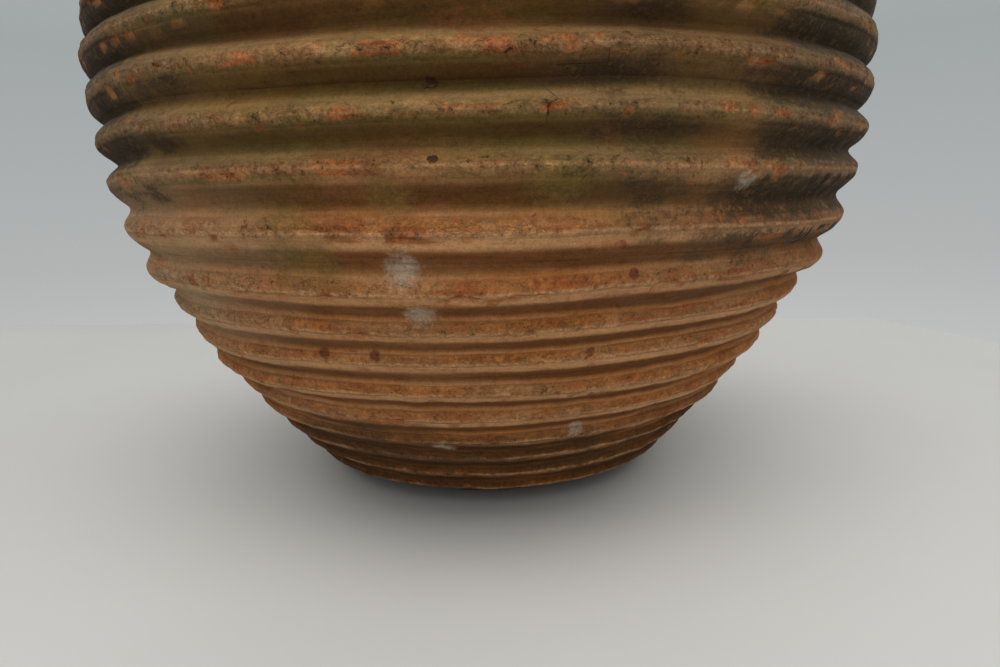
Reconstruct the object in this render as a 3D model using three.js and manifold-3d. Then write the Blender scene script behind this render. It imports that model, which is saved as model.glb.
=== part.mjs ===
// A large ribbed terracotta jar of amphora type: a globular body built up from ringed courses,
// a short neck with a rolled rim, and two strap handles from neck to shoulder.
// Millimetres, +Z up. The origin is the middle of the underside; the handles lie along X.

import * as THREE from "three";
import * as BufferGeometryUtils from "three/addons/utils/BufferGeometryUtils.js";
import Module from "manifold-3d";

const wasm = await Module();
wasm.setup();

// ---- Driving dimensions ----

// Facets round the jar. A multiple of four puts a vertex on each side, front and back.
const SEGMENTS = 40;

// Thickness of the wall behind the bottom of a groove, square to the wall.
const WALL_THICKNESS = 17;

// Gap left between a handle or its root and the surface it is pressed on.
const LUTING_GAP = 0.4;

// Groove depth between two neighbouring ribs, for round ribs and for the fluted ones low down.
const ROUND_GROOVE_DEPTH = 11;
const FLUTED_GROOVE_DEPTH = 6;

// Ribs below this height are shallow flutes between sharp edges; the others have rounded backs.
const FLUTED_BELOW = 190;

// Half the width of a round rib's back, along the wall.
const RIB_HALF_BACK = 5;

// Base slab: it carries the wall on a ledge and fills the floor inside it.
const BASE_RADIUS = 118;
const BASE_EDGE_RADIUS = 124;
const BASE_LEDGE_HEIGHT = 10;
const BASE_FLOOR_RADIUS = 97;
const BASE_FLOOR_HEIGHT = 22;

// Where the wall starts on the base slab and where it hands over to the neck:
// height, outer radius and inner radius.
const WALL_FOOT = { height: BASE_LEDGE_HEIGHT, outer: 134, inner: 98 };
const WALL_HEAD = { height: 588, outer: 128, inner: 102 };

// Courses of the wall from the floor up. Each rib is the height and the radius of its crest.
const COURSES = [
  { finish: "lower", ribs: [[19, 156], [36.5, 171.5], [53.5, 185]] },
  { finish: "lower", ribs: [[71, 202], [89.5, 215.5], [110, 232.5]] },
  { finish: "lower", ribs: [[132.5, 245.5], [154, 257.5], [179, 274.5]] },
  { finish: "upper", ribs: [[209.5, 286.5], [241, 293.5], [267, 298]] },
  { finish: "upper", ribs: [[295.5, 299.5], [323, 300], [351, 297]] },
  { finish: "upper", ribs: [[379, 291], [407, 283], [433.5, 272]] },
  { finish: "upper", ribs: [[459, 259], [483, 244], [506, 227]] },
  { finish: "upper", ribs: [[527, 208], [546, 188], [562, 167], [576, 147]] },
];

// Neck and rim.
const NECK_WAIST_HEIGHT = 634;
const NECK_WAIST_RADIUS = 109;
const NECK_WALL = 17;
const NECK_TOP = 668;
const NECK_TOP_RADIUS = 117;
const MOUTH_RADIUS = 95;
const RIM_RADIUS = 137;
const RIM_EDGE_ROUNDING = 8;
const JAR_HEIGHT = 700;

// Handles: a strap with a rounded section, on a path from the neck to the shoulder (x, z).
const STRAP_WIDTH = 56;
const STRAP_THICKNESS = 22;
const STRAP_ROUNDING = 7;
const STRAP_STEPS = 14;
const HANDLE_PATH = [[92, 634], [124, 640], [160, 640], [192, 623], [209, 588], [213, 550], [213, 504]];

// Clay roots pressed round the handle ends: middle (x, z) and half sizes along X, Y and Z.
const ROOTS = [
  { name: "upper_root", middle: [108, 637], half: [28, 42, 25] },
  { name: "lower_root", middle: [214, 519], half: [32, 43, 27] },
];
const ROOT_SEGMENTS = 20;
const ROOT_RINGS = 10;

// ---- Finishes ----

const FINISHES = {
  foot: { color: 0x8c6044, roughness: 0.95 },
  lower: { color: 0xa5714e, roughness: 0.93 },
  upper: { color: 0x7d6a52, roughness: 0.95 },
  neck: { color: 0x84705a, roughness: 0.94 },
  handle: { color: 0x8a7157, roughness: 0.92 },
};

const jar = new THREE.Group();

function addPiece(name, geometry, finish, parent = jar) {
  const material = new THREE.MeshStandardMaterial({ ...FINISHES[finish], metalness: 0 });
  const mesh = new THREE.Mesh(geometry, material);
  mesh.name = name;
  parent.add(mesh);
  return mesh;
}

// ---- Geometry helpers ----

// Turns an outline of [height, radius] points round the Z axis. The outline runs up the outside
// and back down the inside; one that leaves the axis is closed on itself.
function turned(outline) {
  const points = outline.map(([height, radius]) => new THREE.Vector2(radius, height));
  if (points[0].x > 0) {
    points.push(points[0].clone());
  }
  return new THREE.LatheGeometry(points, SEGMENTS).rotateX(Math.PI / 2);
}

// A closed three.js geometry as a solid that can be cut.
function toSolid(geometry) {
  const bare = geometry.clone();
  bare.deleteAttribute("normal");
  bare.deleteAttribute("uv");
  const merged = BufferGeometryUtils.mergeVertices(bare, 1e-3);
  return new wasm.Manifold(
    new wasm.Mesh({
      numProp: 3,
      vertProperties: new Float32Array(merged.attributes.position.array),
      triVerts: new Uint32Array(merged.index.array),
    }),
  );
}

function toGeometry(solid) {
  const mesh = solid.getMesh();
  const geometry = new THREE.BufferGeometry();
  geometry.setAttribute("position", new THREE.BufferAttribute(mesh.vertProperties, 3));
  geometry.setIndex(new THREE.BufferAttribute(mesh.triVerts, 1));
  geometry.computeVertexNormals();
  return geometry;
}

// ---- Outline of the wall ----

// Unit vector from one [height, radius] point to another.
function direction(from, to) {
  const length = Math.hypot(to[0] - from[0], to[1] - from[1]);
  return [(to[0] - from[0]) / length, (to[1] - from[1]) / length];
}

// The bottom of the groove between two crests: midway, set in square to the line joining them.
function grooveBetween(lower, upper) {
  const depth = upper[0] < FLUTED_BELOW ? FLUTED_GROOVE_DEPTH : ROUND_GROOVE_DEPTH;
  const [rise, spread] = direction(lower, upper);
  return [
    (lower[0] + upper[0]) / 2 + spread * depth,
    (lower[1] + upper[1]) / 2 - rise * depth,
  ];
}

const ribs = COURSES.flatMap((course) => course.ribs);
const grooves = [
  [WALL_FOOT.height, WALL_FOOT.outer],
  ...ribs.slice(1).map((upper, i) => grooveBetween(ribs[i], upper)),
  [WALL_HEAD.height, WALL_HEAD.outer],
];

// Outline of rib i: one sharp edge, or the two shoulders of a rounded back.
function ribOutline(i) {
  const [height, radius] = ribs[i];
  if (height < FLUTED_BELOW) {
    return [[height, radius]];
  }
  const [rise, spread] = direction(grooves[i], grooves[i + 1]);
  return [-RIB_HALF_BACK, RIB_HALF_BACK].map((along) => [height + rise * along, radius + spread * along]);
}

// The inside face level with groove i, so that each course meets the next on a flat ring.
function insideAt(i) {
  const [height, radius] = grooves[i];
  if (i === 0) {
    return [height, WALL_FOOT.inner];
  }
  if (i === ribs.length) {
    return [height, WALL_HEAD.inner];
  }
  const [rise] = direction(grooves[i - 1], grooves[i + 1]);
  return [height, radius - WALL_THICKNESS / rise];
}

// ---- Base and courses ----

addPiece(
  "base_disc",
  turned([
    [0, 0],
    [0, BASE_RADIUS],
    [BASE_LEDGE_HEIGHT / 2, BASE_EDGE_RADIUS],
    [BASE_LEDGE_HEIGHT, BASE_EDGE_RADIUS],
    [BASE_LEDGE_HEIGHT, BASE_FLOOR_RADIUS],
    [BASE_FLOOR_HEIGHT, BASE_FLOOR_RADIUS - 2],
    [BASE_FLOOR_HEIGHT, 0],
  ]),
  "foot",
);

let firstRib = 0;
COURSES.forEach((course, number) => {
  const lastRib = firstRib + course.ribs.length;
  const outside = [grooves[firstRib]];
  const inside = [insideAt(firstRib)];
  for (let i = firstRib; i < lastRib; i += 1) {
    outside.push(...ribOutline(i), grooves[i + 1]);
    inside.push(insideAt(i + 1));
  }
  addPiece(`course_${number + 1}`, turned([...outside, ...inside.reverse()]), course.finish);
  firstRib = lastRib;
});

// ---- Neck and rim ----

const NECK_OUTSIDE = [
  [WALL_HEAD.height, WALL_HEAD.outer],
  [WALL_HEAD.height + 9, NECK_WAIST_RADIUS + 10],
  [WALL_HEAD.height + 24, NECK_WAIST_RADIUS + 3],
  [NECK_WAIST_HEIGHT, NECK_WAIST_RADIUS],
  [NECK_WAIST_HEIGHT + 18, NECK_WAIST_RADIUS + 2],
  [NECK_TOP, NECK_TOP_RADIUS],
];

addPiece(
  "neck",
  turned([
    ...NECK_OUTSIDE,
    [NECK_TOP, MOUTH_RADIUS],
    [NECK_WAIST_HEIGHT, NECK_WAIST_RADIUS - NECK_WALL],
    [WALL_HEAD.height + 18, NECK_WAIST_RADIUS - NECK_WALL + 2],
    [WALL_HEAD.height, WALL_HEAD.inner],
  ]),
  "neck",
);

addPiece(
  "rim",
  turned([
    [NECK_TOP, NECK_TOP_RADIUS],
    [NECK_TOP + 3, RIM_RADIUS - 10],
    [NECK_TOP + 9, RIM_RADIUS - 2],
    [NECK_TOP + 17, RIM_RADIUS],
    [JAR_HEIGHT - RIM_EDGE_ROUNDING / 2, RIM_RADIUS - 3],
    [JAR_HEIGHT, RIM_RADIUS - RIM_EDGE_ROUNDING],
    [JAR_HEIGHT, MOUTH_RADIUS + RIM_EDGE_ROUNDING],
    [JAR_HEIGHT - RIM_EDGE_ROUNDING / 2, MOUTH_RADIUS + 2],
    [JAR_HEIGHT - 2 * RIM_EDGE_ROUNDING, MOUTH_RADIUS - 1],
    [NECK_TOP, MOUTH_RADIUS],
  ]),
  "neck",
);

// ---- Handles and their roots ----

// Everything inside the outer face of the wall and neck, grown outwards and upwards by the gap.
const keepOut = toSolid(
  turned([
    [BASE_FLOOR_HEIGHT, 0],
    ...[...ribs.flatMap((rib, i) => [grooves[i], ...ribOutline(i)]).slice(2), ...NECK_OUTSIDE].map(
      ([height, radius]) => [height + LUTING_GAP, radius + LUTING_GAP],
    ),
    [JAR_HEIGHT, 0],
  ]),
);

// The strap swept along the handle's path, grown on every side by a margin.
function strap(margin) {
  const halfThick = STRAP_THICKNESS / 2 + margin;
  const halfWide = STRAP_WIDTH / 2 + margin;
  const section = new THREE.Shape();
  section.moveTo(-halfWide + STRAP_ROUNDING, -halfThick);
  section.lineTo(halfWide - STRAP_ROUNDING, -halfThick);
  section.lineTo(halfWide, -halfThick + STRAP_ROUNDING);
  section.lineTo(halfWide, halfThick - STRAP_ROUNDING);
  section.lineTo(halfWide - STRAP_ROUNDING, halfThick);
  section.lineTo(-halfWide + STRAP_ROUNDING, halfThick);
  section.lineTo(-halfWide, halfThick - STRAP_ROUNDING);
  section.lineTo(-halfWide, -halfThick + STRAP_ROUNDING);
  section.closePath();
  const path = new THREE.CatmullRomCurve3(HANDLE_PATH.map(([x, z]) => new THREE.Vector3(x, 0, z)));
  return toSolid(new THREE.ExtrudeGeometry(section, { steps: STRAP_STEPS, extrudePath: path }));
}

// A low mound of clay round one end of the handle.
function root({ middle, half }) {
  const mound = new THREE.SphereGeometry(1, ROOT_SEGMENTS, ROOT_RINGS)
    .rotateX(Math.PI / 2)
    .scale(...half)
    .translate(middle[0], 0, middle[1]);
  return toSolid(mound).subtract(keepOut).subtract(strap(LUTING_GAP));
}

const handleGeometry = toGeometry(strap(0).subtract(keepOut));
const rootGeometries = ROOTS.map((each) => toGeometry(root(each)));

for (const [side, turn] of [["right", 0], ["left", Math.PI]]) {
  const group = new THREE.Group();
  group.rotation.z = turn;
  jar.add(group);
  addPiece(`handle_${side}`, handleGeometry, "handle", group);
  ROOTS.forEach(({ name }, i) => addPiece(`handle_${side}_${name}`, rootGeometries[i], "handle", group));
}

export default jar;
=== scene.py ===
"""A large ringed terracotta jar of amphora type, weathered, standing on a pale studio floor."""

import logging
import math
from dataclasses import dataclass, field
from enum import Enum
from functools import reduce
from itertools import product
from typing import Callable, Optional, Sequence, Union

import bmesh
import bpy
import numpy as np
from mathutils import Matrix, Vector


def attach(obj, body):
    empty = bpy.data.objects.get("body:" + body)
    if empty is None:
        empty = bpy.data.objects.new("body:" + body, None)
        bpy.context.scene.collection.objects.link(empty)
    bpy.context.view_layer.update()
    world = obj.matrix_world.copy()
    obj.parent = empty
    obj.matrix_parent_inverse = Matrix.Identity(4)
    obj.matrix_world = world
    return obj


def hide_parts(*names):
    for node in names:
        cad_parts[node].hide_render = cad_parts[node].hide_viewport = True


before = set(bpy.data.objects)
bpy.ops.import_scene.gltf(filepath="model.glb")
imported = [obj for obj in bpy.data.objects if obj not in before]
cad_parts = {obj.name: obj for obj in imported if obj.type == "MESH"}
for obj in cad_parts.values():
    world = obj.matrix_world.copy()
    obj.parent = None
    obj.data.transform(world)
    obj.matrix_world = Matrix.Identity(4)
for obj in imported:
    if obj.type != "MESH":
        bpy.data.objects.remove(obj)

log = logging.getLogger("jar")
logging.basicConfig(level=logging.INFO, format="%(name)s: %(message)s")

MM = 0.001
MARKS = ("trough", "rising", "arris", "broken")
Point = tuple[float, float]
Array = np.ndarray
Worked = tuple[Array, dict[str, Array]]
Value = Union[float, int, tuple, "Wire"]


# ---- Shader writing ----


class Wire:
    """One output socket of a shader node, with the sums it can take part in."""

    def __init__(self, graph: "Graph", socket: bpy.types.NodeSocket) -> None:
        """Keeps the graph it belongs to and the socket it comes from."""
        self.graph = graph
        self.socket = socket

    def _math(self, operation: str, *values: Value) -> "Wire":
        """Adds one Math node for these values."""
        return self.graph.node("ShaderNodeMath", {"operation": operation}, dict(enumerate(values)))

    def __add__(self, other: Value) -> "Wire":
        """This plus other."""
        return self._math("ADD", self, other)

    def __radd__(self, other: Value) -> "Wire":
        """Other plus this."""
        return self._math("ADD", other, self)

    def __sub__(self, other: Value) -> "Wire":
        """This less other."""
        return self._math("SUBTRACT", self, other)

    def __rsub__(self, other: Value) -> "Wire":
        """Other less this."""
        return self._math("SUBTRACT", other, self)

    def __mul__(self, other: Value) -> "Wire":
        """This times other."""
        return self._math("MULTIPLY", self, other)

    def __rmul__(self, other: Value) -> "Wire":
        """Other times this."""
        return self._math("MULTIPLY", other, self)

    def __neg__(self) -> "Wire":
        """This with its sign turned."""
        return self._math("MULTIPLY", self, -1.0)

    def __abs__(self) -> "Wire":
        """This without its sign."""
        return self._math("ABSOLUTE", self)

    def larger(self, other: Value) -> "Wire":
        """The larger of this and other."""
        return self._math("MAXIMUM", self, other)

    def smaller(self, other: Value) -> "Wire":
        """The smaller of this and other."""
        return self._math("MINIMUM", self, other)

    def ease(self, start: float, end: float) -> "Wire":
        """A soft step, 0 at start and 1 at end, which may lie below start."""
        low, high, first, last = (start, end, 0.0, 1.0) if start < end else (end, start, 1.0, 0.0)
        return self.graph.node(
            "ShaderNodeMapRange",
            {"interpolation_type": "SMOOTHSTEP"},
            {"Value": self, "From Min": low, "From Max": high, "To Min": first, "To Max": last},
        )

    def other(self, name: str) -> "Wire":
        """Another output of the same node."""
        return Wire(self.graph, self.socket.node.outputs[name])


class Graph:
    """The node tree of one material or world, written from Python."""

    def __init__(self, owner: Union[bpy.types.Material, bpy.types.World]) -> None:
        """Empties the owner's node tree."""
        owner.use_nodes = True
        self.owner = owner
        self.tree = owner.node_tree
        self.tree.nodes.clear()

    def node(
        self, kind: str, settings: Optional[dict] = None, sockets: Optional[dict] = None,
        out: Union[int, str] = 0,
    ) -> Wire:
        """Adds any node.

        Args:
            kind: The node's type.
            settings: Its properties, or a ramp's stops, set before its sockets.
            sockets: A value or a wire for each input, by name or number.
            out: The output that is wanted.

        Returns:
            That output as a wire.
        """
        made = self.tree.nodes.new(kind)
        for key, value in (settings or {}).items():
            if key == "stops":
                self._set_stops(made.color_ramp.elements, value)
            else:
                setattr(made, key, value)
        for key, value in (sockets or {}).items():
            if isinstance(value, Wire):
                self.tree.links.new(value.socket, made.inputs[key])
            else:
                made.inputs[key].default_value = value
        return Wire(self, made.outputs[out])

    def _set_stops(self, elements: bpy.types.ColorRampElements, stops: Sequence) -> None:
        """Gives a ramp its stops, each a position and a colour, from the lowest up."""
        elements[0].position, elements[0].color = stops[0]
        elements[1].position, elements[1].color = stops[-1]
        for position, colour in stops[1:-1]:
            elements.new(position).color = colour

    def finish(self, surface: Wire, kind: str = "ShaderNodeOutputMaterial") -> None:
        """Makes this shader the owner's surface, through an output node of that kind."""
        end = self.tree.nodes.new(kind)
        self.tree.links.new(surface.socket, end.inputs["Surface"])

    def noise(self, place: Wire, scale: float, detail: float = 3.0, rough: float = 0.55) -> Wire:
        """Cloudy noise, about 0.25 to 0.75: clouds a metre, octaves, and each one's strength."""
        sockets = {"Vector": place, "Scale": scale, "Detail": detail, "Roughness": rough}
        return self.node("ShaderNodeTexNoise", {}, sockets)

    def cells(self, place: Wire, scale: float) -> Wire:
        """Distance to the nearest edge of scattered cells."""
        settings, sockets = {"feature": "DISTANCE_TO_EDGE"}, {"Vector": place, "Scale": scale}
        return self.node("ShaderNodeTexVoronoi", settings, sockets, "Distance")

    def stretch(self, place: Wire, scale: tuple, shift: tuple = (0.0, 0.0, 0.0)) -> Wire:
        """The place, scaled along each axis and shifted."""
        return self.node("ShaderNodeMapping", {}, {"Vector": place, "Scale": scale, "Location": shift})

    def mix(self, factor: Value, first: Value, second: Value) -> Wire:
        """A colour between two: the first where factor is 0, the second where it is 1."""
        sockets = {0: factor, 6: _opaque(first), 7: _opaque(second)}
        return self.node("ShaderNodeMix", {"data_type": "RGBA"}, sockets, 2)

    def shade(self, colour: Value, amount: Value) -> Wire:
        """A colour made darker or lighter: each channel times amount."""
        return self.node("ShaderNodeVectorMath", {"operation": "SCALE"}, {0: colour, "Scale": amount})

    def near(self, place: Wire, middle: tuple, reach: float) -> Wire:
        """1 at a point of the surface, falling to 0 a reach away."""
        gap = self.node("ShaderNodeVectorMath", {"operation": "DISTANCE"}, {0: place, 1: middle}, "Value")
        return gap.ease(reach, 0.0)


def _opaque(colour: Value) -> Value:
    """A colour of three numbers with its alpha added; anything else as it is."""
    return (*colour, 1.0) if isinstance(colour, tuple) and len(colour) == 3 else colour


# ---- Finishes ----


@dataclass(frozen=True)
class ClayTones:
    """The colours met on old unglazed terracotta, in linear light. Several also stand in for light and
    shade: the umber and deep browns paint shade in the grooves, the cream and the pale tan of rubbed edges
    paint light, the sooty black and ashy grey partly paint shade on the sides, and the near-black paints
    shade in holes, pores and cracks.
    """

    tan: tuple = (0.4, 0.185, 0.07)
    orange: tuple = (0.4, 0.148, 0.04)
    ember: tuple = (0.33, 0.09, 0.025)
    rose: tuple = (0.39, 0.195, 0.098)
    rust: tuple = (0.2, 0.07, 0.022)
    oxide: tuple = (0.17, 0.044, 0.02)
    olive: tuple = (0.205, 0.12, 0.031)
    moss: tuple = (0.13, 0.102, 0.026)
    umber: tuple = (0.12, 0.042, 0.01)
    bark: tuple = (0.15, 0.072, 0.022)
    deep: tuple = (0.062, 0.026, 0.0055)
    cream: tuple = (0.285, 0.17, 0.066)
    # Pale tan of rubbed edges, also used to paint light under each crest and a painted highlight along the
    # rib edges.
    worn_and_lit: tuple = (0.5, 0.262, 0.12)
    straw: tuple = (0.37, 0.245, 0.13)
    # Ashy grey and sooty black: partly real deposits, partly painted shade on the jar's sides.
    ash_and_shade: tuple = (0.122, 0.087, 0.05)
    soot_and_shade: tuple = (0.021, 0.0155, 0.0085)
    lime: tuple = (0.5, 0.43, 0.33)
    pit_shade: tuple = (0.034, 0.014, 0.006)


class Mark(Enum):
    """Kinds of single mark that age has left on the clay."""

    RUST = "rust"
    OXIDE = "oxide"
    LIME = "lime"
    GREEN = "green"
    HOLE = "hole"


@dataclass(frozen=True)
class Blemish:
    """Marks of one kind: how torn, soft and strong, and the spots, each x, y, z and reach in metres."""

    tear: float
    soft: float
    strength: float
    spots: tuple[tuple[float, ...], ...]


BLEMISHES = {
    Mark.RUST: Blemish(tear=3.2, soft=0.1, strength=0.8, spots=(
        (-0.067, -0.284, 0.246, 0.022), (-0.056, -0.284, 0.236, 0.014),
        (0.01, -0.297, 0.295, 0.017), (-0.044, -0.294, 0.296, 0.02),
        (-0.115, -0.273, 0.288, 0.016), (-0.043, -0.282, 0.216, 0.026),
        (-0.072, -0.276, 0.214, 0.024), (0.138, -0.236, 0.183, 0.03),
        (0.136, -0.262, 0.268, 0.012), (0.007, -0.297, 0.295, 0.016),
        (-0.067, -0.287, 0.262, 0.014),
    )),
    Mark.OXIDE: Blemish(tear=2.2, soft=0.1, strength=0.8, spots=(
        (-0.067, -0.237, 0.138, 0.0065), (-0.098, -0.226, 0.139, 0.008),
        (0.058, -0.239, 0.138, 0.0075), (0.078, -0.263, 0.186, 0.0055),
        (0.061, -0.22, 0.108, 0.0045), (0.068, -0.272, 0.202, 0.007),
    )),
    Mark.LIME: Blemish(tear=1.5, soft=0.55, strength=0.5, spots=(
        (-0.045, -0.273, 0.19, 0.026), (-0.036, -0.26, 0.166, 0.02),
        (-0.031, -0.192, 0.067, 0.018), (0.055, -0.195, 0.076, 0.013),
        (0.1375, -0.2549, 0.2355, 0.017),
    )),
    Mark.GREEN: Blemish(tear=1.5, soft=0.55, strength=0.55, spots=(
        (-0.098, -0.262, 0.2, 0.055), (0.036, -0.287, 0.235, 0.04),
        (-0.05, -0.283, 0.228, 0.03),
    )),
    # The holes are painted near-black, as painted shade inside them.
    Mark.HOLE: Blemish(tear=5.0, soft=0.1, strength=0.9, spots=(
        (-0.0245, -0.2865, 0.28, 0.0085), (-0.025, -0.2915, 0.246, 0.0036),
    )),
}


class Band(Enum):
    """Bands along every ring: the middle, half the width and the soft edge of each.

    The middle is 0 at a crest, 0.5 in the groove above it and 1 at the next crest.
    """

    GRIT = (0.11, 0.09, 0.07)
    # The next four bands paint light and shade: the first and the last paint light just under and just
    # above a crest, the two between paint shade in the groove.
    LIP = (0.87, 0.1, 0.09)
    HOLLOW = (0.53, 0.11, 0.17)
    DARK = (0.58, 0.09, 0.19)
    PALE = (0.17, 0.05, 0.11)
    RUBBED = (0.99, 0.085, 0.035)
    RAW = (0.985, 0.075, 0.03)
    # Partly painted shade: more sooty black along the middle of each groove.
    FURRED = (0.56, 0.1, 0.2)
    PINCHED = (0.66, 0.2, 0.1)
    RUSTED = (0.99, 0.1, 0.05)
    LEDGE = (0.97, 0.06, 0.07)
    PITTED_SLIP = (0.985, 0.12, 0.1)
    PITTED_CLAY = (0.09, 0.09, 0.08)


class Field:
    """What the clay's shader reads at a point: where it is, its marks, and shared noises."""

    def __init__(self, graph: Graph) -> None:
        """Reads the place and marks, and lays the noises."""
        self.graph = graph
        self.place = graph.node("ShaderNodeTexCoord", out="Object")
        self.across = graph.node("ShaderNodeSeparateXYZ", {}, {"Vector": self.place}, "X")
        self.height = self.across.other("Z")
        self.trough, self.rising, self.arris, self.broken = (self._mark(key) for key in MARKS)
        self.ringed = graph.stretch(self.place, (1.0, 1.0, 6.0))
        self.drawn = graph.stretch(self.place, (1.0, 1.0, 22.0))
        self.hairy = graph.stretch(self.place, (1.5, 1.5, 1.0))
        self.cloud = graph.noise(self.place, 5.5, 5.0)
        self.patch = graph.noise(self.ringed, 9.0, 6.0, 0.62)
        self.mottle = graph.noise(self.place, 75.0, 6.0, 0.7)
        self.speck = graph.noise(self.place, 300.0, 4.0, 0.72)
        self.sand = graph.noise(self.place, 900.0, 2.0, 0.6)
        self.streak = graph.noise(self.drawn, 14.0, 5.0, 0.62)
        self.fibre = graph.noise(self.hairy, 300.0, 5.0, 0.74)
        self.lines = graph.noise(self.drawn, 42.0, 3.0, 0.6)
        self.flake = graph.noise(
            graph.stretch(self.place, (1.0, 1.0, 1.7), (0.3, 0.1, 0.0)), 38.0, 7.0, 0.72
        )

    def _mark(self, key: str) -> Wire:
        """One of the marks that shaping left on the mesh."""
        return self.graph.node("ShaderNodeAttribute", {"attribute_name": key}, out="Fac")

    def band(self, band: Band) -> Wire:
        """1 in a band along every ring, 0 outside it."""
        middle, half, soft = band.value
        turn = 2 * math.pi * middle
        along = (1.0 - self.trough * 2.0) * math.cos(turn) + self.rising * math.sin(turn)
        inner, outer = (math.cos(2 * math.pi * width) for width in (half, half + soft))
        return along.ease(outer, inner)


@dataclass(frozen=True)
class WeatheredClay:
    """Unglazed terracotta under a rubbed, sooty slip, with painted light and shade along the rings and
    painted shade on its sides. One field of colour runs over the whole jar.
    """

    name: str
    tones: ClayTones = ClayTones()
    slip_rise: tuple = (0.204, 0.262)
    low_darkening_rise: tuple = (0.094, 0.058)
    # Where the sooty black and ashy grey begin on each side: partly real deposits, partly painted shade on
    # the jar's sides.
    right_soot_and_shade: tuple = (0.05, 0.175)
    left_soot_and_shade: tuple = (0.12, 0.215)
    right_rise: tuple = (0.155, 0.225)
    left_rise: tuple = (0.175, 0.25)
    bump: float = 0.85
    bump_depth: float = 0.0016
    sheen: float = 0.16

    def bare(self, f: Field) -> Wire:
        """The bare clay of the lower wall.

        Args:
            f: What is read at the point.

        Returns:
            Its colour: tan and orange, gritty over each edge, with painted light just under each edge and
                painted shade darkening each flute.
        """
        g, tones = f.graph, self.tones
        clay = g.mix(f.patch.ease(0.38, 0.62), tones.tan, tones.orange)
        clay = g.mix(f.streak.ease(0.46, 0.7) * 0.6, clay, tones.rose)
        grit = f.flake * 0.6 + f.speck * 0.4 + (f.patch - 0.5) * 0.3
        fired = g.mix(f.mottle.ease(0.42, 0.6), tones.ember, tones.orange)
        clay = g.mix(f.band(Band.GRIT) * grit.ease(0.46, 0.56) * 0.8, clay, fired)
        # Painted light: a pale tan band just under each crest, standing in for light that falls there.
        lip = f.band(Band.LIP) * (0.3 + f.patch.ease(0.34, 0.58) * 0.6)
        clay = g.mix(lip, clay, tones.worn_and_lit)
        # Painted shade: umber darkening the hollow of each flute, where shade falls.
        hollow = f.band(Band.HOLLOW) * (0.86 + (f.cloud - 0.5) * 1.0 + (f.patch - 0.5) * 0.8)
        clay = g.mix(hollow.larger(0.0).smaller(0.94), clay, tones.umber)
        bleached = (-f.across + (f.cloud - 0.5) * 0.24).ease(0.09, 0.21) * f.height.ease(0.115, 0.165)
        return g.mix(bleached * f.patch.ease(0.26, 0.56) * 0.85, clay, tones.straw)

    def coated(self, f: Field) -> Wire:
        """The clay of the upper wall, under its slip.

        Args:
            f: What is read at the point.

        Returns:
            Its colour: painted light in cream over each crest, rubbed red on it, olive under it, then
                painted shade in the groove.
        """
        g, tones = f.graph, self.tones
        coat = g.mix(g.noise(f.ringed, 6.0, 5.0).ease(0.4, 0.6), tones.bark, tones.olive)
        coat = g.mix(g.noise(f.place, 13.0, 5.0).ease(0.5, 0.62) * 0.8, coat, tones.moss)
        coat = g.mix(f.streak.ease(0.5, 0.72) * 0.35, coat, tones.umber)
        # Painted shade: deep brown darkening the middle of each groove, where shade falls.
        dark = f.band(Band.DARK) * (0.56 + (f.cloud - 0.5) * 1.6 + (f.patch - 0.5) * 1.2)
        coat = g.mix(dark.larger(0.0).smaller(0.94), coat, tones.deep)
        # Painted light: cream on the up-facing slope above each crest, where the light falls.
        pale = f.band(Band.PALE) * (f.cloud * 0.9 + f.streak * 0.5 + f.mottle * 0.2).ease(0.56, 0.9)
        pale = pale * (0.35 + f.patch.ease(0.36, 0.54) * 0.65)
        coat = g.mix(pale * 0.9, coat, tones.cream)
        rubbed = f.flake * 0.65 + f.speck * 0.35 + (f.patch - 0.5) * 0.35
        rosy = g.mix(f.mottle.ease(0.4, 0.66), tones.rust, tones.cream)
        coat = g.mix(f.band(Band.RUBBED) * rubbed.ease(0.44, 0.54) * 0.75, coat, rosy)
        blotch = g.noise(g.stretch(f.place, (1.0, 1.0, 1.6), (0.7, 0.2, 0.5)), 17.0, 6.0, 0.72)
        coat = g.mix(blotch.ease(0.575, 0.64) * f.speck.ease(0.34, 0.52) * 0.55, coat, tones.rust)
        raw = (g.noise(f.ringed, 11.0, 5.0, 0.7) * 0.6 + f.flake * 0.4).ease(0.55, 0.6)
        raw = f.band(Band.RAW) * raw * f.speck.ease(0.36, 0.5)
        return g.mix(raw * 0.85, coat, self.fresh(f))

    def fresh(self, f: Field) -> Wire:
        """The red of clay laid bare on a crest."""
        return f.graph.mix(f.mottle.ease(0.36, 0.6), self.tones.rust, self.tones.ember)

    def soot_and_side_shade(self, f: Field, skin: Wire, slip: Wire) -> Wire:
        """Adds the sooty black and grey dust of the jar's flanks, partly real deposits and partly painted
        shade darkening its left and right sides.

        Args:
            f: What is read at the point.
            skin: The colour so far.
            slip: How fully the slip covers the clay.

        Returns:
            The new colour: furry sooty black in the grooves, ashy grey on the crests, both partly painted
                shade on the sides.
        """
        g, tones = f.graph, self.tones
        wander = (f.cloud - 0.5) * 0.3 + (f.patch - 0.5) * 0.1
        height = f.height + wander * 0.4
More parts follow.
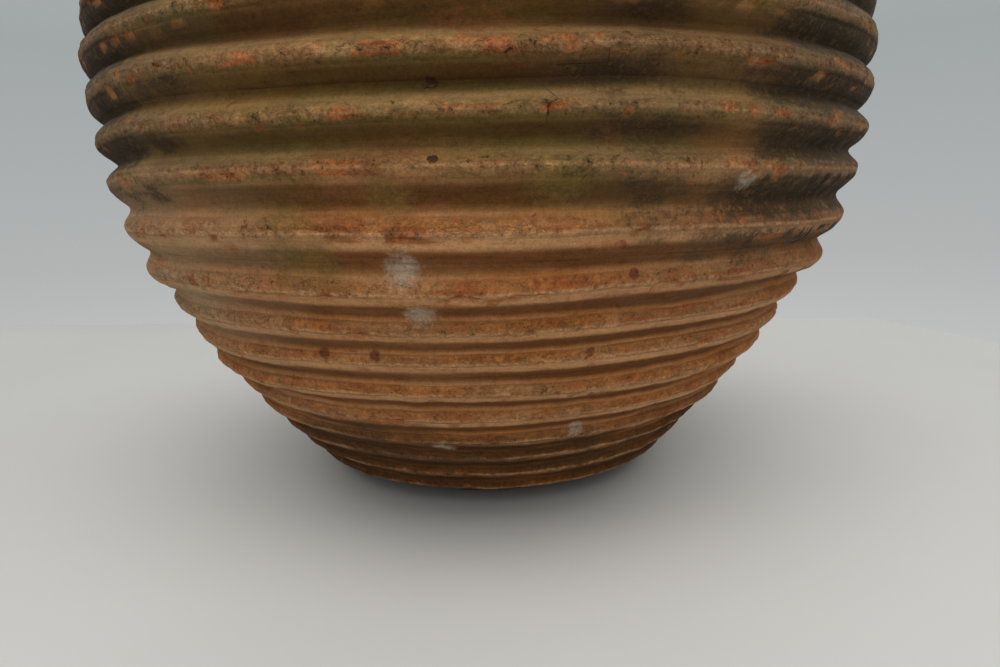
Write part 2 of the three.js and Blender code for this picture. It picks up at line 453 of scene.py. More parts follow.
        # Partly painted shade: the sooty black and ashy grey gather on the jar's left and right sides,
        # darkening them.
        right = (f.across + wander).ease(*self.right_soot_and_shade) * height.ease(*self.right_rise)
        left = (wander - f.across).ease(*self.left_soot_and_shade) * height.ease(*self.left_rise)
        flank = right.larger(left)
        crest = f.trough.ease(0.42, 0.06)
        ashen = flank * (0.72 + crest * 0.22) * (f.mottle * 0.6 + f.fibre * 0.4).ease(0.32, 0.58)
        skin = g.mix(ashen, skin, tones.ash_and_shade)
        cover = flank * (0.92 - crest * 0.44) + f.band(Band.FURRED) * slip * 0.16 + (f.cloud - 0.5) * 0.5
        torn = (f.fibre - 0.5) * 0.45 + (f.mottle - 0.5) * 1.1 + (f.speck - 0.5) * 0.9
        burnt = (f.speck * 0.6 + f.mottle * 0.4).ease(0.49, 0.64)
        fur = g.mix(burnt, tones.soot_and_shade, g.shade(tones.bark, 0.55))
        skin = g.mix((cover + torn).ease(0.34, 0.84) * 0.82, skin, fur)
        ribbing = g.noise(g.stretch(f.place, (1.0, 1.0, 0.12)), 80.0, 2.0).ease(0.49, 0.57)
        pinched = ribbing * f.band(Band.PINCHED) * (f.across + wander * 0.3).ease(0.16, 0.2)
        pinched = pinched * f.height.ease(0.15, 0.175) * f.height.ease(0.275, 0.25)
        return g.mix(pinched * 0.9, skin, tones.soot_and_shade)

    def blemished(self, f: Field, skin: Wire) -> Wire:
        """Adds the single marks, each torn at its edge."""
        g, tones = f.graph, self.tones
        colours = {
            Mark.RUST: self.fresh(f),
            Mark.OXIDE: tones.oxide,
            Mark.LIME: tones.lime,
            Mark.GREEN: g.mix(f.mottle.ease(0.4, 0.6), tones.moss, tones.olive),
            Mark.HOLE: tones.pit_shade,
        }
        for kind, blemish in BLEMISHES.items():
            spots = (g.near(f.place, (x, y, z), reach) for x, y, z, reach in blemish.spots)
            near = reduce(Wire.larger, spots)
            edge = near + (f.flake - 0.5) * blemish.tear + (f.speck - 0.5) * blemish.tear * 0.4
            cover = edge.ease(0.42, 0.42 + blemish.soft) * near.ease(0.0, 0.12)
            if kind is Mark.RUST:
                cover = cover * f.band(Band.RUSTED)
            skin = g.mix(cover * blemish.strength, skin, colours[kind])
        return skin

    def dress(self) -> bpy.types.Material:
        """Writes the material.

        Returns:
            The material, ready to put on a piece.
        """
        g = Graph(bpy.data.materials.new(self.name))
        f = Field(g)
        tones = self.tones
        strayed = f.height + (f.cloud - 0.5) * 0.1 + (f.patch - 0.5) * 0.06
        slip = strayed.ease(*self.slip_rise)
        skin = g.mix(slip * 0.93, self.bare(f), self.coated(f))
        skin = self.soot_and_side_shade(f, skin, slip)

        # Scattered iron spots, and the wall darkening to brown towards the foot.
        rusty = g.noise(g.stretch(f.place, (1.0, 1.0, 1.5), (0.0, 0.4, 0.2)), 30.0, 5.0, 0.75)
        spots = rusty.ease(0.655, 0.69)
        skin = g.mix(spots * 0.65, skin, tones.oxide)
        strayed = f.height + (f.patch - 0.5) * 0.07 + (f.cloud - 0.5) * 0.04
        low_darkening = strayed.ease(*self.low_darkening_rise)
        low_brown = g.mix(f.patch.ease(0.46, 0.62), g.shade(tones.deep, 0.8), tones.umber)
        skin = g.mix(low_darkening * (0.8 + f.trough * 0.18), skin, low_brown)
        # Tan spots on the rib edges of the darker foot rings: partly wear, partly painted highlight.
        ledge_wear_and_highlight = f.band(Band.LEDGE) * low_darkening * (f.mottle * 0.6 + f.patch * 0.4).ease(0.46, 0.6)
        skin = g.mix(ledge_wear_and_highlight * 0.75, skin, tones.tan)
        skin = self.blemished(f, skin)

        # The thin pale line along each sharp rib edge, partly wear and partly painted highlight, and fresh
        # clay where it is chipped.
        bead_wear_and_highlight = f.mottle.ease(0.32, 0.52) * (1.0 - low_darkening * f.cloud.ease(0.56, 0.46) * 0.8)
        skin = g.mix(f.arris * bead_wear_and_highlight * 0.85, skin, tones.worn_and_lit)
        skin = g.mix(f.broken * 0.8, skin, g.mix(f.mottle.ease(0.4, 0.6), tones.ember, tones.tan))

        # Painted shade: near-black in the pits of the gritty bands, in a few hair cracks and along flake
        # edges.
        gritty = f.band(Band.PITTED_SLIP) * slip + f.band(Band.PITTED_CLAY) * (1.0 - slip)
        pits = (f.speck * 0.65 + f.mottle * 0.35).ease(0.385, 0.34) * (0.1 + gritty * (0.35 + slip * 0.45))
        split = g.cells(g.stretch(f.place, (1.0, 1.0, 2.4)), 30.0) + (f.speck - 0.5) * 0.07
        cracks = split.ease(0.01, 0.002) * g.noise(f.place, 11.0, 2.0).ease(0.64, 0.7) * slip
        outline = abs(f.flake - 0.49).ease(0.012, 0.003) * f.mottle.ease(0.5, 0.6) * gritty * 0.6
        skin = g.mix((pits * 0.75).larger(cracks * 0.7).larger(outline), skin, tones.pit_shade)
        grain = (f.sand - 0.5) * 0.8 + (f.speck - 0.5) * (0.6 + gritty) + (f.mottle - 0.5) * 0.5
        skin = g.shade(skin, 1.0 + grain + (f.lines - 0.5) * 0.45 + (f.streak - 0.5) * 0.5)

        relief = (
            f.sand * (0.1 + gritty * 0.25)
            + f.speck * (0.25 + gritty * 0.75)
            + f.mottle * (0.45 + gritty * 0.95)
            + f.flake.ease(0.46, 0.53) * gritty * 0.55
            + f.streak * 0.4
            - pits * 0.8
            - cracks * 0.8
            - spots * 0.15
        )
        bumps = {"Height": relief, "Strength": self.bump, "Distance": self.bump_depth}
        sockets = {
            "Base Color": skin,
            "Roughness": 0.8 + f.speck * 0.2,
            "Normal": g.node("ShaderNodeBump", {}, bumps, "Normal"),
            "Specular IOR Level": self.sheen,
        }
        g.finish(g.node("ShaderNodeBsdfPrincipled", {}, sockets))
        return g.owner


@dataclass(frozen=True)
class PaleFloor:
    """A matt off-white floor with a faint unevenness, and painted shade darkening it towards the sides."""

    name: str = "pale_floor"
    colour: tuple = (0.57, 0.57, 0.56)
    painted_side_shade: float = 0.22

    def dress(self) -> bpy.types.Material:
        """Writes the material."""
        g = Graph(bpy.data.materials.new(self.name))
        place = g.node("ShaderNodeTexCoord", out="Object")
        haze = g.noise(place, 3.0, 5.0)
        smudge = g.noise(g.stretch(place, (1.0, 2.2, 1.0)), 7.0, 7.0, 0.72).ease(0.66, 0.8)
        # Painted shade: the floor darkens away from the middle towards the sides.
        side_shade = abs(g.node("ShaderNodeSeparateXYZ", {}, {"Vector": place}, "X")).ease(0.2, 0.75)
        light = 0.95 + haze * 0.1 - smudge * 0.05 - side_shade * self.painted_side_shade
        sockets = {"Base Color": g.shade(self.colour, light), "Roughness": 0.62, "Specular IOR Level": 0.3}
        g.finish(g.node("ShaderNodeBsdfPrincipled", {}, sockets))
        return g.owner


# ---- Noise for shaping ----


class Cloud:
    """Smooth seeded noise in space, for shaping meshes."""

    def __init__(self, seed: int) -> None:
        """Draws a table of values for this seed."""
        self.table = np.random.default_rng(seed).random(4096).astype(np.float32)

    def _corner(self, cell: Array) -> Array:
        """The value at a whole-numbered corner."""
        mixed = cell[:, 0] * 73856093 ^ cell[:, 1] * 19349663 ^ cell[:, 2] * 83492791
        return self.table[(mixed ^ (mixed >> 13)) & 4095]

    def once(self, points: Array, size: Union[float, tuple]) -> Array:
        """One octave.

        Args:
            points: Places, one a row.
            size: How wide a lump is, the same in all directions or for each axis.

        Returns:
            Values from -1 to 1.
        """
        scaled = points / np.asarray(size, float)
        base = np.floor(scaled).astype(np.int64)
        part = scaled - base
        part = part * part * (3 - 2 * part)
        total = np.zeros(len(points))
        for corner in product((0, 1), repeat=3):
            share = np.where(corner, part, 1 - part)
            total += share[:, 0] * share[:, 1] * share[:, 2] * self._corner(base + corner)
        return total * 2 - 1

    def at(self, points: Array, size: Union[float, tuple], octaves: int = 1) -> Array:
        """Several octaves, each half as wide and half as strong, from about -1 to 1."""
        size = np.asarray(size, float) * np.ones(3)
        return sum(self.once(points + 7.3 * n, size / 2**n) / 2**n for n in range(octaves))


def soft_step(values: Array, start: float, end: float) -> Array:
    """0 at start, 1 at end, with a smooth run between."""
    share = np.clip((values - start) / (end - start), 0, 1)
    return share * share * (3 - 2 * share)


def outward_of(points: Array) -> tuple[Array, Array]:
    """Each point's distance from the jar's axis, and the level direction away from the axis."""
    radius = np.hypot(points[:, 0], points[:, 1])
    return radius, np.c_[points[:, :2] / np.maximum(radius, 1e-6)[:, None], np.zeros(len(points))]


# ---- The outline of the wall ----


@dataclass
class Wall:
    """The ringed wall, in millimetres: the height and radius of each crest, and the grooves between."""

    rings: tuple[Point, ...] = (
        (19, 156), (36.5, 171.5), (53.5, 185), (71, 202), (89.5, 215.5),
        (110, 232.5), (132.5, 245.5), (154, 257.5), (179, 274.5), (209.5, 286.5),
        (241, 293.5), (267, 298), (295.5, 299.5), (323, 300), (351, 297),
        (379, 291), (407, 283), (433.5, 272), (459, 259), (483, 244),
        (506, 227), (527, 208), (546, 188), (562, 167), (576, 147),
    )
    foot: Point = (10, 134)
    head: Point = (588, 128)
    thickness: float = 17.0
    deep_groove: float = 11.5
    shallow_groove: float = 8.5
    lift: float = 2.6
    swell: float = 1.3
    chip: float = 1.5
    wander: Cloud = field(default_factory=lambda: Cloud(11))
    hand: Cloud = field(default_factory=lambda: Cloud(23))
    clay: Cloud = field(default_factory=lambda: Cloud(37))

    def __post_init__(self) -> None:
        """Joins the crests into one line from foot to head."""
        self.heights, self.radii = np.array([self.foot, *self.rings, self.head], float).T.copy()

    def joint(self, below: int) -> Point:
        """The middle of the run between ring number below and the next, counted from 1."""
        return (
            (self.heights[below] + self.heights[below + 1]) / 2,
            (self.radii[below] + self.radii[below + 1]) / 2,
        )

    def groove(self, share: Array, flank: Array, height: Array) -> Array:
        """Depth of the groove between two crests.

        Args:
            share: 0 at the lower crest, 1 at the upper one.
            flank: 0 in front and behind, 1 at either side of the jar.
            height: Height above the floor.

        Returns:
            The depth, 0 on a crest and 1 at the bottom: fluted low down in front, a round cove on
            the flanks, and between fat lobes round the widest part.
        """
        high = soft_step(height, 190, 260)
        sagging = share + (0.138 - 0.06 * high) * np.sin(math.pi * share) ** 2
        above = 1.25 + 0.55 * high * (1 - flank) + 1.75 * flank
        under = 2.6 + 0.5 * flank
        blunt = above + (under - above) * soft_step(share, 0.2, 0.55)
        cove = np.sin(math.pi * sagging) ** blunt
        wedge = 1 - np.abs(2 * sagging - 1)
        lobe = 1 - (1 - wedge**2) ** 0.5
        fat = soft_step(height, 245, 295) * (0.3 + 0.6 * flank)
        return cove * (1 - fat) + lobe * fat

    def shift(self, points: Array) -> Array:
        """How the whole wall strays from true, as an offset for each point."""
        _, outward = outward_of(points)
        lift = self.lift * self.wander.at(points, (190, 190, 60), 2)
        swell = self.swell * self.wander.at(points + 500, (150, 150, 120), 2)
        settled = soft_step(points[:, 2], 10, 60)[:, None]
        return (outward * swell[:, None] + np.c_[np.zeros((len(points), 2)), lift]) * settled

    def press(self, points: Array) -> Worked:
        """Presses the grooves and works the surface.

        Args:
            points: Points of the smooth outer face, in millimetres.

        Returns:
            The moved points, and the marks left on them.
        """
        radius = np.hypot(points[:, 0], points[:, 1])
        flank = soft_step(np.abs(points[:, 0] / radius), 0.35, 0.85)
        height = points[:, 2]
        below = np.clip(np.searchsorted(self.heights, height, "right") - 1, 0, len(self.heights) - 2)
        step_up = self.heights[below + 1] - self.heights[below]
        step_out = self.radii[below + 1] - self.radii[below]
        run = np.hypot(step_up, step_out)
        share = np.clip((height - self.heights[below]) / step_up, 0, 1)
        ends = (below == 0) | (below == len(self.heights) - 2)

        round_about = np.c_[points[:, 0] / radius, points[:, 1] / radius]
        outward = np.c_[round_about * (step_up / run)[:, None], -step_out / run]
        wide = soft_step(height, 170, 300)
        depth = self.shallow_groove + (self.deep_groove - self.shallow_groove) * wide
        depth = depth * (0.54 + 0.46 * np.maximum(wide, 0.75 * flank))
        turned = np.c_[points[:, :2], below * 41.0]
        depth = depth * (1 + 0.2 * self.hand.at(turned, (90, 90, 20), 2)) * np.minimum(1, run / 26) * ~ends
        cut = self.groove(share, flank, height)
        turn = 2 * math.pi * share

        crest = 1 - soft_step(cut, 0.0, 0.45)
        finger = self.hand.at(points + 91, (15, 15, 30), 2) * cut * 0.75
        ripple = self.hand.at(points, (60, 60, 5.5), 2) * 0.35
        lumps = self.clay.at(points, 16, 2) * (0.35 + 0.25 * crest)
        grit = self.clay.at(points + 33, 5.0, 2) * (0.12 + 0.42 * crest * (0.4 + 0.6 * wide))
        nibble = self.clay.at(points + 777, (13, 13, 6), 2)
        broken = soft_step(nibble, 0.52, 0.66) * crest
        worked = -depth * cut + finger + ripple + lumps + grit - broken * self.chip

        sharp = (1 - 0.65 * soft_step(height, 215, 265)) * ~ends
        arris = np.exp(-(((1 - share) * run / 1.7) ** 2)) + np.exp(-((share * run / 1.0) ** 2))
        moved = points + outward * worked[:, None]
        trough = np.where(ends, 0.65, 0.5 - 0.5 * np.cos(turn))
        rising = np.where(ends, -0.7, np.sin(turn))
        arris = np.clip(arris, 0, 1) * sharp
        return moved, {"trough": trough, "rising": rising, "arris": arris, "broken": broken}


# ---- Turning and finishing meshes ----


def put(name: str, data: bpy.types.ID) -> bpy.types.Object:
    """Makes an object of this data in the scene."""
    made = bpy.data.objects.new(name, data)
    bpy.context.scene.collection.objects.link(made)
    return made


@dataclass
class Bench:
    """Where pieces are turned, shaped and put on the jar's body."""

    wall: Wall
    finishes: dict[str, bpy.types.Material] = field(default_factory=dict)
    steps: int = 880
    finer: int = 8
    row: float = 1.75
    inner_row: float = 7.0

    def finish_of(self, slot: str) -> bpy.types.Material:
        """The finish for a slot, made the first time it is asked for."""
        if slot not in self.finishes:
            self.finishes[slot] = WeatheredClay(slot).dress()
        return self.finishes[slot]

    def is_hoop(self, edge: bmesh.types.BMEdge) -> bool:
        """True of an edge that runs round the jar's axis."""
        first, second = (vert.co for vert in edge.verts)
        level = abs(first.z - second.z) < 1e-4
        return level and first.xy.length > 1e-3 and abs(first.xy.length - second.xy.length) < 1e-3

    def turn(
        self, outside: Sequence[Point], inside: Sequence[Point], steps: int, row: float
    ) -> bmesh.types.BMesh:
        """Turns an outline round the jar's axis.

        Args:
            outside: Height and radius of the outer line, from the bottom up, in millimetres.
            inside: The inner line, from the top down.
            steps: Facets round the jar.
            row: Height of a row of facets on the outer face.

        Returns:
            A closed ring, with the layer "outer" 1 on its outer face.
        """
        bm = bmesh.new()
        outer = bm.verts.layers.float.new("outer")
        line = [bm.verts.new((radius, 0, height)) for height, radius in [*outside, *inside]]
        for vert in line[: len(outside)]:
            vert[outer] = 1.0
        closed = outside[0][1] > 0
        pairs = list(zip(line, line[1:])) + ([(line[-1], line[0])] if closed else [])
        edges = [bm.edges.new(pair) for pair in pairs]
        cuts_of: dict[int, list] = {}
        for number, edge in enumerate(edges):
            fine = row if number < len(outside) - 1 else self.inner_row
            cuts_of.setdefault(round(edge.calc_length() / fine) - 1, []).append(edge)
        for cuts, group in cuts_of.items():
            if cuts > 0:
                bmesh.ops.subdivide_edges(bm, edges=group, cuts=cuts)
        coarse = steps // self.finer
        bmesh.ops.spin(
            bm, geom=bm.verts[:] + bm.edges[:], cent=(0, 0, 0), axis=(0, 0, 1),
            angle=2 * math.pi, steps=coarse, use_merge=True,
        )
        hoops = [edge for edge in bm.edges if self.is_hoop(edge)]
        bmesh.ops.subdivide_edges(bm, edges=hoops, cuts=self.finer - 1)
        part = 2 * math.pi / coarse
        for vert in bm.verts:
            off_middle = math.atan2(vert.co.y, vert.co.x) % part - part / 2
            vert.co.xy *= math.cos(off_middle) / math.cos(part / 2)
        bmesh.ops.remove_doubles(bm, verts=bm.verts[:], dist=1e-4)
        bmesh.ops.recalc_face_normals(bm, faces=bm.faces[:])
        return bm

    def to_piece(
        self, bm: bmesh.types.BMesh, name: str, node: str, slot: str,
        work: Callable[[Array, Array], Worked],
    ) -> None:
        """Makes a shown piece of a mesh in millimetres, riding on the jar's body.

        Args:
            bm: The mesh, which is used up.
            name: The piece's name.
            node: The solid it stands for.
            slot: Its material slot.
            work: Moves the points, given with their outer marks, and says what marks it left.
        """
        mesh = bpy.data.meshes.new(name)
        bm.to_mesh(mesh)
        bm.free()
        count = len(mesh.vertices)
        points = np.empty(count * 3, np.float64)
        mesh.vertices.foreach_get("co", points)
        points = points.reshape(-1, 3)
        outer = np.zeros(count)
        if "outer" in mesh.attributes:
            mesh.attributes["outer"].data.foreach_get("value", outer)
            mesh.attributes.remove(mesh.attributes["outer"])
        moved, marks = work(points, outer > 0.5)
        mesh.vertices.foreach_set("co", (moved * MM).ravel())
        for key in MARKS:
            layer = mesh.attributes.new(key, "FLOAT", "POINT")
            layer.data.foreach_set("value", marks.get(key, np.zeros(count)).astype(np.float32))
        mesh.polygons.foreach_set("use_smooth", [True] * len(mesh.polygons))
        mesh.materials.append(self.finish_of(slot))
        mesh.update()
        piece = put(name, mesh)
        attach(piece, "root")
        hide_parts(node)
        log.info("%s: %d faces", name, len(mesh.polygons))


def flowing(points: Sequence[Point], spacing: float) -> list[Point]:
    """A smooth line through points.

    Args:
        points: Height and radius of each point.
        spacing: How far apart the points of the new line are, about.

    Returns:
        The line, with its first and last points kept.
    """
    first, last = np.array(points[0]), np.array(points[-1])
    known = np.array([2 * first - points[1], *points, 2 * last - points[-2]])
    line = []
    for before, start, end, after in zip(known, known[1:], known[2:], known[3:]):
        count = max(1, round(float(np.hypot(*(end - start))) / spacing))
        for n in range(count):
            t = n / count
            bend = (
                2 * start
                + (end - before) * t
                + (2 * before - 5 * start + 4 * end - after) * t**2
                + (3 * start - before - 3 * end + after) * t**3
            ) / 2
            line.append(tuple(bend))
    return [*line, tuple(points[-1])]


# ---- The pieces ----


@dataclass
class Courses:
    """The eight ringed courses of the wall, from the foot to the shoulder."""

    bench: Bench
    counts: tuple[int, ...] = (3, 3, 3, 3, 3, 3, 3, 4)
    lower_courses: int = 3
    foot_inner: float = 98.0
    head_inner: float = 102.0

    def seam(self, below: int) -> tuple[Point, Point]:
        """Where the wall is joined over a ring.

        Args:
            below: The ring's number, counted from 1, or 0 for the foot.

        Returns:
            The outer point and the inner one, each a height and a radius.
        """
        wall = self.bench.wall
        if below == 0:
            return wall.foot, (wall.foot[0], self.foot_inner)
        if below == len(wall.rings):
            return wall.head, (wall.head[0], self.head_inner)
        height, radius = wall.joint(below)
        up = wall.heights[below + 1] - wall.heights[below]
        out = wall.radii[below + 1] - wall.radii[below]
        behind = (wall.thickness + wall.deep_groove * 0.9) * math.hypot(up, out) / up
        return (height, radius), (height, radius - behind)

    def build(self) -> None:
        """Turns, presses and dresses every course, from the foot up."""
        wall = self.bench.wall
        below = 0
        for number, count in enumerate(self.counts, 1):
            last = below + count
            seams = [self.seam(ring) for ring in range(below, last + 1)]
            crests = [(wall.heights[ring], wall.radii[ring]) for ring in range(below + 1, last + 1)]
            outside = [seams[0][0], *crests, seams[-1][0]]
            inside = [inner for _, inner in reversed(seams)]
            bm = self.bench.turn(outside, inside, self.bench.steps, self.bench.row)
            slot = "lower_clay" if number <= self.lower_courses else "upper_clay"
            self.bench.to_piece(bm, f"ringed_course_{number}", f"course_{number}", slot, self.work)
            below = last

    def work(self, points: Array, outer: Array) -> Worked:
        """Presses the outer face and leaves the inner one plain."""
        wall = self.bench.wall
        strayed = points + wall.shift(points)
        marks = {key: np.zeros(len(points)) for key in MARKS}
        pressed, left = wall.press(points[outer])
        strayed[outer] += pressed - points[outer]
        for key, values in left.items():
            marks[key][outer] = values
        marks["trough"][~outer] = 0.5
        return strayed, marks


@dataclass
class Foot:
    """The slab the jar stands on: flat underneath, with a soft edge and a floor inside."""

    bench: Bench
    radius: float = 118.0
    edge_radius: float = 124.0
    ledge: float = 10.0
    floor_radius: float = 97.0
    floor_height: float = 22.0
    steps: int = 360
    row: float = 4.0

    def build(self) -> None:
        """Turns and dresses the slab."""
        outline = [
            (0.0, 0.0), (0.0, self.radius - 2), (0.9, self.radius),
            (self.ledge * 0.45, self.edge_radius - 1), (self.ledge, self.edge_radius),
            (self.ledge, self.floor_radius), (self.floor_height - 1.5, self.floor_radius - 1.5),
            (self.floor_height, self.floor_radius - 4), (self.floor_height, 0.0),
        ]
        bm = self.bench.turn(outline, [], self.steps, self.row)
        self.bench.to_piece(bm, "foot_slab", "base_disc", "foot_clay", self.work)

    def work(self, points: Array, outer: Array) -> Worked:
        """Roughens all but the flat underside and the ledge."""
        radius = np.hypot(points[:, 0], points[:, 1])
        free = (points[:, 2] > 0.5) & (np.abs(points[:, 2] - self.ledge) > 0.5)
        rough = self.bench.wall.clay.at(points, 9, 2) * 0.35 * free
        moved = points.copy()
        moved[:, 2] += rough * (radius < self.floor_radius - 3)
        return moved, {"trough": np.full(len(points), 0.9)}


@dataclass
class NeckAndRim:
    """The collar that grows out of the shoulder, and the coil rolled over its lip."""

    bench: Bench
    steps: int = 600
    top: float = 668.0
    height: float = 700.0
    rim_radius: float = 136.5
    mouth_radius: float = 95.0
    spacing: float = 1.8
    row: float = 2.2

    def build(self) -> None:
        """Turns and dresses the neck and the rim."""
        top, height = self.top, self.height
        neck_out = [(588, 128), (597, 119), (612, 112), (634, 109), (652, 111), (top, 117)]
        neck_in = [(top, self.mouth_radius), (634, 92), (606, 94), (588, 102)]
        outside, inside = flowing(neck_out, self.spacing), flowing(neck_in, 5.0)
        neck = self.bench.turn(outside, inside, self.bench.steps, self.row)
        rim_out = [
            (top, 117), (top + 2.5, 127), (top + 8, 134.5), (top + 17, self.rim_radius),
            (height - 6, 134), (height - 1.2, 128), (height, 121), (height, 108),
            (height - 1.5, 101), (height - 6, 96.5), (height - 16, 94), (top, self.mouth_radius),
        ]
        rim = self.bench.turn(flowing(rim_out, self.spacing), [], self.steps, self.row)
        self.bench.to_piece(neck, "collar", "neck", "neck_clay", self.work)
        self.bench.to_piece(rim, "rolled_rim", "rim", "neck_clay", self.work)

    def work(self, points: Array, outer: Array) -> Worked:
        """Leaves throwing lines, held still where the neck meets the shoulder."""
        wall = self.bench.wall
        height = points[:, 2]
        free = (soft_step(height, 588, 606) * soft_step(-height, -699.6, -690))[:, None]
        _, outward = outward_of(points)
        rings = wall.hand.at(points, (80, 80, 6), 2) * 0.55
        lumps = wall.clay.at(points, 14, 2) * 0.45 + wall.clay.at(points + 33, 5, 2) * 0.18
        worked = outward * (rings + lumps)[:, None] * free * outer[:, None]
        moved = points + wall.shift(points) * free + worked
        dip = soft_step(-np.abs(height - 604), -16, 0) * 0.5
        return moved, {"trough": np.clip(dip + ~outer * 0.6, 0, 1)}


class Side(Enum):
    """Which side of the jar a handle is on, as a turn about the jar's axis."""

    RIGHT = 0.0
    LEFT = math.pi


class End(Enum):
    """Which end of a handle a root is pressed round."""

    UPPER = "upper_root"
    LOWER = "lower_root"


@dataclass
class Handles:
    """Two strap handles and the clay pressed round their ends."""

    bench: Bench
    width: float = 56.0
    thickness: float = 22.0
    path: tuple[Point, ...] = (
        (103, 636.5), (124, 640), (160, 640), (192, 623), (209, 588), (213, 550), (213, 508),
    )
    roots: dict[End, tuple[tuple, tuple]] = field(
        default_factory=lambda: {
            End.UPPER: ((108.0, 0.0, 637.0), (26.0, 41.0, 24.0)),
            End.LOWER: ((213.0, 0.0, 519.0), (29.0, 42.0, 25.0)),
        }
    )

    def build(self) -> None:
        """Pulls, bends and dresses both handles and their roots."""
        for side in Side:
            name = side.name.lower()
            kit = [(self.strap(side), f"strap_{name}", f"handle_{name}", self.work)]
            for end in End:
                part, node = f"{end.value}_{name}", f"handle_{name}_{end.value}"
                kit.append((self.mound(side, end), part, node, self.work_root))
            for bm, part, node, work in kit:
                self.bench.to_piece(bm, part, node, "handle_clay", work)

    def strap(self, side: Side) -> bmesh.types.BMesh:
        """One handle, drawn along its path with a grooved, rounded section."""
        line = flowing(self.path, 2.4)
        bm = bmesh.new()
        ring = bmesh.ops.create_circle(bm, cap_ends=False, radius=1.0, segments=72)["verts"]
        self.place(ring, line, 0, None)
        first = edges = list({edge for vert in ring for edge in vert.link_edges})
        for station in range(1, len(line)):
            grown = bmesh.ops.extrude_edge_only(bm, edges=edges)["geom"]
            ring = [item for item in grown if isinstance(item, bmesh.types.BMVert)]
            edges = [item for item in grown if isinstance(item, bmesh.types.BMEdge)]
            self.place(ring, line, station, station - 1)
        for loop in (first, edges):
            bmesh.ops.contextual_create(bm, geom=loop)
        return self.swung(bm, side)

    def swung(self, bm: bmesh.types.BMesh, side: Side) -> bmesh.types.BMesh:
        """The mesh, turned about the jar's axis to its side, with its faces facing out."""
        turn = Matrix.Rotation(side.value, 3, "Z")
        bmesh.ops.rotate(bm, verts=bm.verts[:], cent=(0, 0, 0), matrix=turn)
        bmesh.ops.recalc_face_normals(bm, faces=bm.faces[:])
        return bm

    def frame_at(self, line: Sequence[Point], station: int) -> Matrix:
        """The place and turn of the section at one station of the path."""
        before = line[max(0, station - 1)]
        after = line[min(len(line) - 1, station + 1)]
        ahead = Vector((after[0] - before[0], 0, after[1] - before[1])).normalized()
        broad = Vector((0, 1, 0))
        turn = Matrix((broad.cross(ahead), broad, ahead)).transposed().to_4x4()
        return Matrix.Translation((line[station][0], 0, line[station][1])) @ turn

    def place(self, verts: Sequence, line: Sequence[Point], station: int, came_from: Optional[int]) -> None:
        """Moves the section's points to a station, from the flat or from an earlier station."""
        goal = self.frame_at(line, station)
        back = self.frame_at(line, came_from).inverted() if came_from is not None else Matrix.Identity(4)
        for vert in verts:
            if came_from is None:
                x, y = vert.co.x, vert.co.y
                dent = 2.6 * math.exp(-((y / 0.3) ** 2)) if x > 0 else 0.0
                thick = math.copysign(abs(x) ** 0.62, x) * self.thickness / 2 - dent
                broad = math.copysign(abs(y) ** 0.8, y) * self.width / 2
                vert.co = Vector((thick, broad, 0))
            vert.co = goal @ (back @ vert.co)

    def mound(self, side: Side, end: End) -> bmesh.types.BMesh:
        """The clay round one end of a handle, flattened on to the wall behind it."""
        middle, half = self.roots[end]
        bm = bmesh.new()
        bmesh.ops.create_uvsphere(bm, u_segments=96, v_segments=60, radius=1.0)
        bmesh.ops.scale(bm, vec=half, verts=bm.verts[:])
        bmesh.ops.translate(bm, vec=middle, verts=bm.verts[:])
        return self.swung(bm, side)

    def work(self, points: Array, outer: Array) -> Worked:
        """Leaves the drag of the fingers along the strap."""
        wall = self.bench.wall
        drag = np.column_stack([wall.hand.at(points + far, (30, 9, 30), 2) for far in (0, 50, 90)])
        lumps = wall.clay.at(points, 7, 2)[:, None] * 0.25
        return points + drag * 0.7 + lumps, {"trough": np.full(len(points), 0.22)}

    def work_root(self, points: Array, outer: Array) -> Worked:
        """Presses the mound on to the wall, thins it at the edge and leaves finger marks."""
        wall = self.bench.wall
        heights = np.append(wall.heights, [612, 634, 668, 700])
        radii = np.append(wall.radii, [112, 109, 117, 118])
        radius, outward = outward_of(points)
        face = np.interp(points[:, 2], heights, radii)
        sunk = np.maximum(face - 9.0 - radius, 0)
        dimples = wall.hand.at(points + 11, 12, 2) * 1.3 + wall.clay.at(points, 5, 2) * 0.3
        moved = points + outward * (sunk + dimples * (sunk == 0))[:, None]
        near = 1 - soft_step(radius - face, 0, 9)
        return moved, {"trough": np.clip(near * 0.9, 0, 1)}


# ---- The room ----


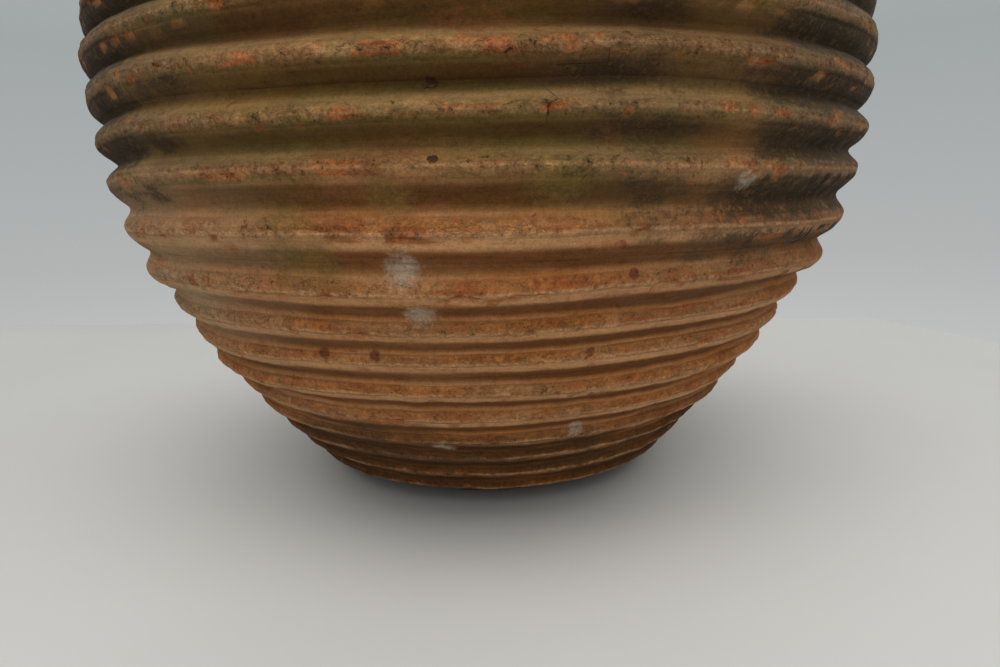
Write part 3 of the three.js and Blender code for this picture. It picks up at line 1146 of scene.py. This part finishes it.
@dataclass
class Studio:
    """A pale floor, soft light from a pale room, and the camera."""

    eye_height: float = 0.2285
    eye_distance: float = 0.6294
    pitch: float = 11.34
    yaw: float = 0.888
    roll: float = 1.33
    lens: float = 25.0
    back_left: Point = (-6.0, 1.154)
    corner: Point = (0.672, 0.5715)
    front_right: Point = (2.65, -6.0)
    lamp_colour: tuple = (1.0, 0.975, 0.93)
    glow: tuple = (
        (0.0, (0.53, 0.54, 0.535, 1)),
        (0.12, (0.445, 0.46, 0.455, 1)),
        (0.38, (0.355, 0.38, 0.385, 1)),
        (1.0, (0.6, 0.61, 0.61, 1)),
    )

    def floor(self) -> None:
        """The floor, which ends a little behind the jar, where the room's walls begin."""
        bm = bmesh.new()
        corners = [(-6, -6), self.front_right, self.corner, self.back_left]
        bm.faces.new([bm.verts.new((x, y, 0)) for x, y in corners])
        bmesh.ops.recalc_face_normals(bm, faces=bm.faces[:])
        mesh = bpy.data.meshes.new("floor")
        bm.to_mesh(mesh)
        bm.free()
        mesh.materials.append(PaleFloor().dress())
        put("floor", mesh)

    def light(self) -> None:
        """The room's even glow, and four soft lamps: overhead, behind on each side, and in front."""
        world = bpy.data.worlds.new("pale_room")
        bpy.context.scene.world = world
        g = Graph(world)
        place = g.node("ShaderNodeTexCoord", out="Generated")
        height = g.node("ShaderNodeSeparateXYZ", {}, {"Vector": place}, "Z")
        ramp = g.node("ShaderNodeValToRGB", {"stops": self.glow}, {"Fac": height + 0.2})
        g.finish(g.node("ShaderNodeBackground", {}, {"Color": ramp}), "ShaderNodeOutputWorld")
        self.lamp("top_lamp", (-0.05, -0.85, 1.9), (2.8, 1.0), 23.0)
        self.lamp("left_lamp", (-1.15, 0.7, 0.85), (0.9, 0.6), 4.0)
        self.lamp("right_lamp", (1.15, 0.6, 0.85), (0.9, 0.6), 5.0)
        self.lamp("front_lamp", (0.0, -1.35, 0.8), (1.3, 0.8), 2.5)

    def lamp(self, name: str, place: tuple, size: Point, power: float) -> None:
        """Hangs one rectangular soft lamp that faces the jar.

        Args:
            name: The lamp's name.
            place: Where it hangs.
            size: Its width and height.
            power: Its power in watts.
        """
        data = bpy.data.lights.new(name, "AREA")
        data.shape = "RECTANGLE"
        data.size, data.size_y = size
        data.energy = power
        data.color = self.lamp_colour
        lamp = put(name, data)
        lamp.location = place
        lamp.visible_camera = False
        lamp.rotation_euler = (Vector((0, 0, 0.15)) - Vector(place)).to_track_quat("-Z", "Y").to_euler()

    def camera(self) -> None:
        """The camera, a little above the foot and looking down at it."""
        data = bpy.data.cameras.new("camera")
        data.lens = self.lens
        data.sensor_width = 36.0
        data.clip_start = 0.01
        camera = put("camera", data)
        turn = (
            Matrix.Rotation(math.radians(-self.yaw), 4, "Z")
            @ Matrix.Rotation(math.radians(90 - self.pitch), 4, "X")
            @ Matrix.Rotation(math.radians(-self.roll), 4, "Z")
        )
        camera.matrix_world = Matrix.Translation((0, -self.eye_distance, self.eye_height)) @ turn
        bpy.context.scene.camera = camera

    def build(self) -> None:
        """Sets up the room."""
        self.floor()
        self.light()
        self.camera()
        bpy.context.scene.view_settings.view_transform = "Standard"


def main() -> None:
    """Builds the jar and its room."""
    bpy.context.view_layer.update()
    Studio().build()
    bench = Bench(Wall())
    Foot(bench).build()
    Courses(bench).build()
    NeckAndRim(bench).build()
    Handles(bench).build()
    bpy.context.view_layer.update()


if __name__ == "__main__":
    main()
